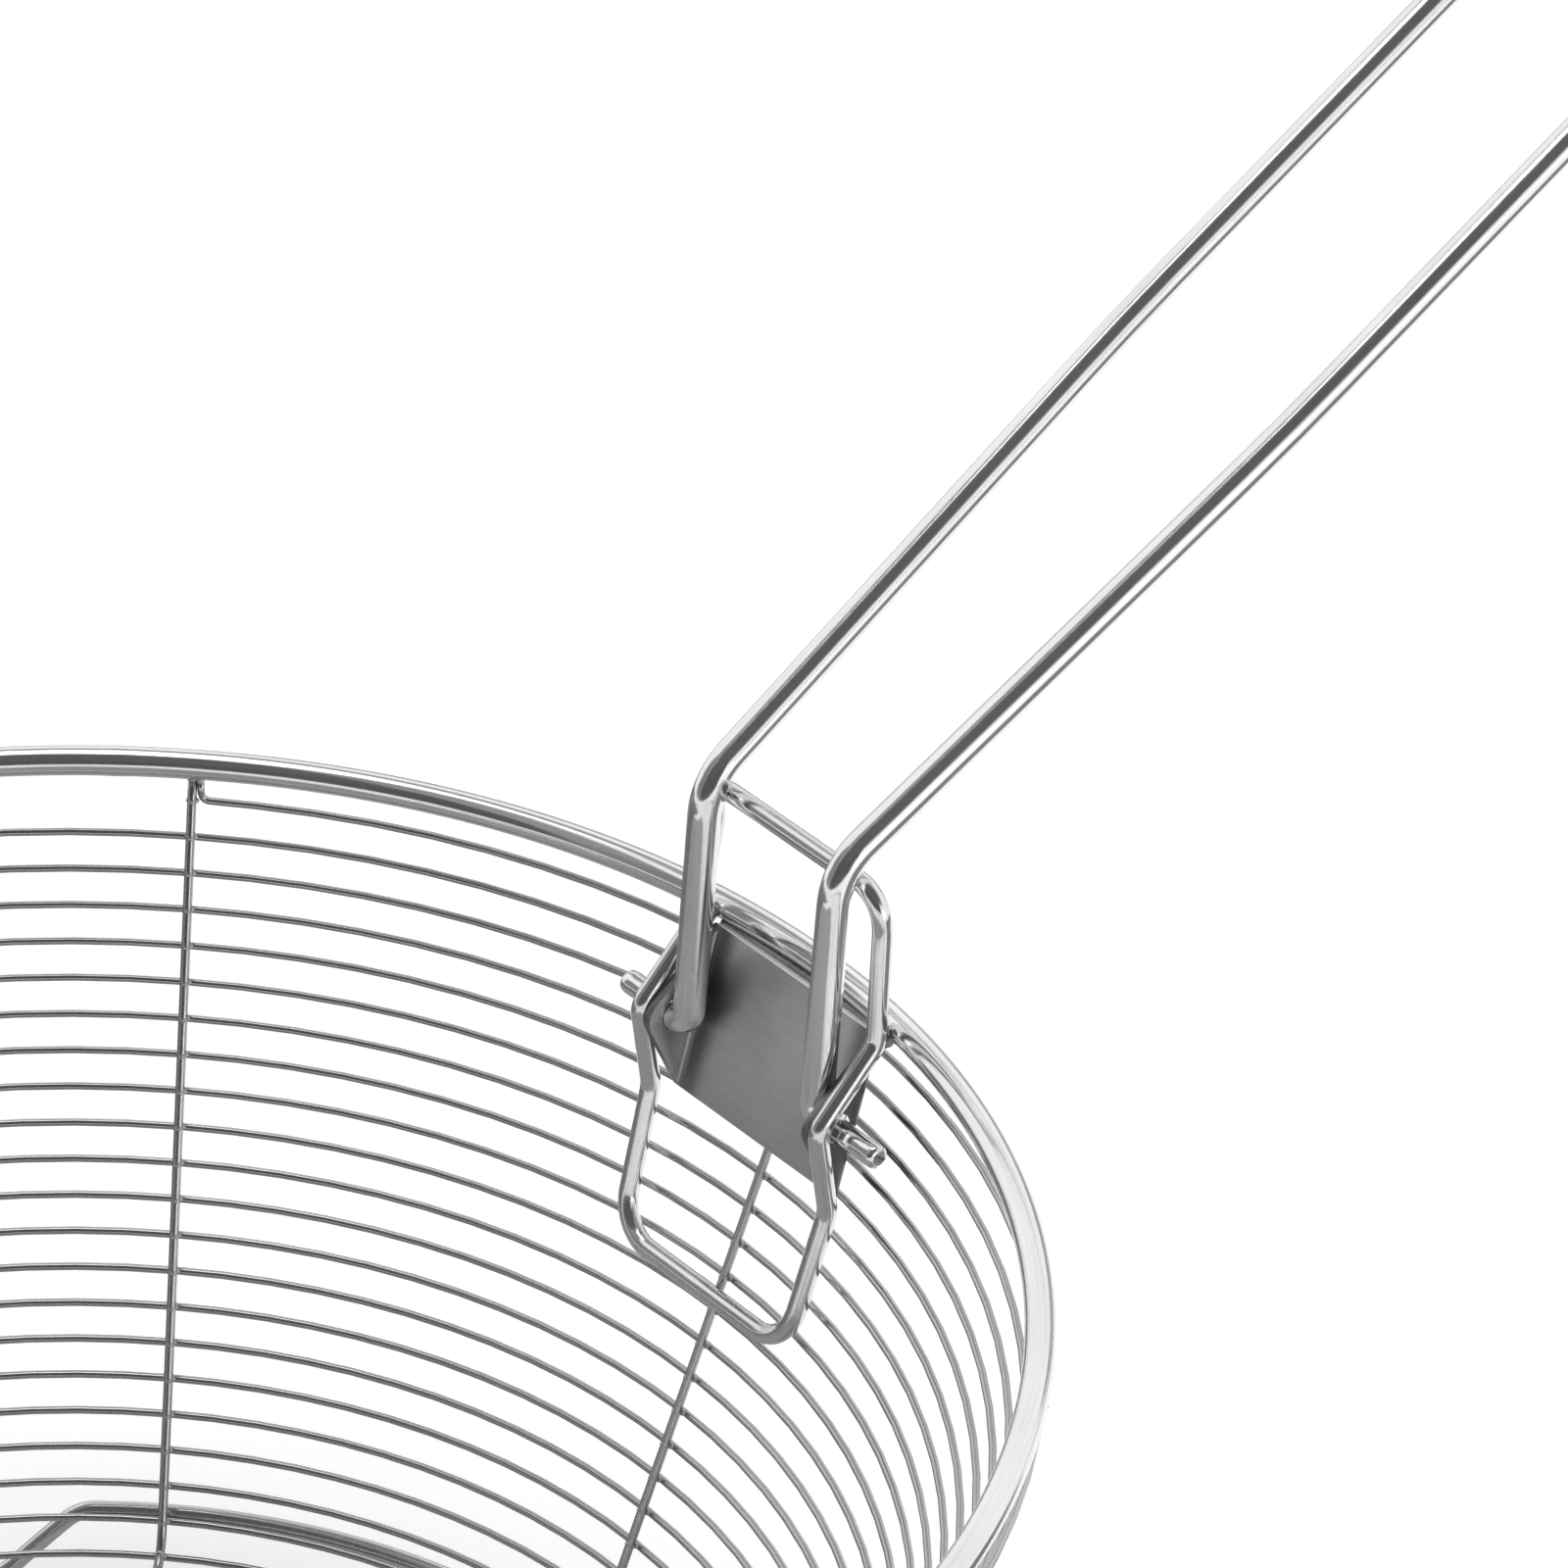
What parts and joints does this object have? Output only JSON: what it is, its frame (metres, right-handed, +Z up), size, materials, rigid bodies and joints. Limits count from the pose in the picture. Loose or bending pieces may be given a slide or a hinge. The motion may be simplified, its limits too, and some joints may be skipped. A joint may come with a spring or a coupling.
{
  "type": "deep fryer basket",
  "caption": "Round wire basket with a flat coiled bottom, upright ribs, a wire rim, low wire feet and a long wire handle that folds inward.",
  "frame": {"origin": "on the standing plane under the basket's axis, level with the soles of the feet", "axes": "+Z up along the basket's axis, +X outward through the bracket, the way the handle points"},
  "size_m": [0.3936, 0.244, 0.2165],
  "materials": {
    "rim_wire": "polished stainless wire",
    "fine_wire": "bright drawn stainless wire",
    "rib_wire": "bright drawn stainless wire with weld marks",
    "base_wire": "bright drawn stainless wire",
    "bracket_sheet": "satin stainless sheet",
    "stay_wire": "bright drawn stainless wire",
    "handle_wire": "polished stainless wire"
  },
  "bodies": {
    "basket": {"rim_ring": "rim_wire", "coil_wire": "fine_wire", "base_ring": "base_wire", "bracket": "bracket_sheet", "handle_stay": "stay_wire", "rib_1": "rib_wire", "rib_2": "rib_wire", "rib_3": "rib_wire", "rib_4": "rib_wire", "rib_5": "rib_wire", "rib_6": "rib_wire", "rib_7": "rib_wire", "rib_8": "rib_wire"},
    "handle": {"handle": "handle_wire"}
  },
  "joints": [
    {"name": "handle_fold", "type": "hinge", "parent": "basket", "child": "handle", "pos_m": [0.1097, 0, 0.0914], "axis": [0, -1, 0], "range_deg": [0, 162]}
  ]
}
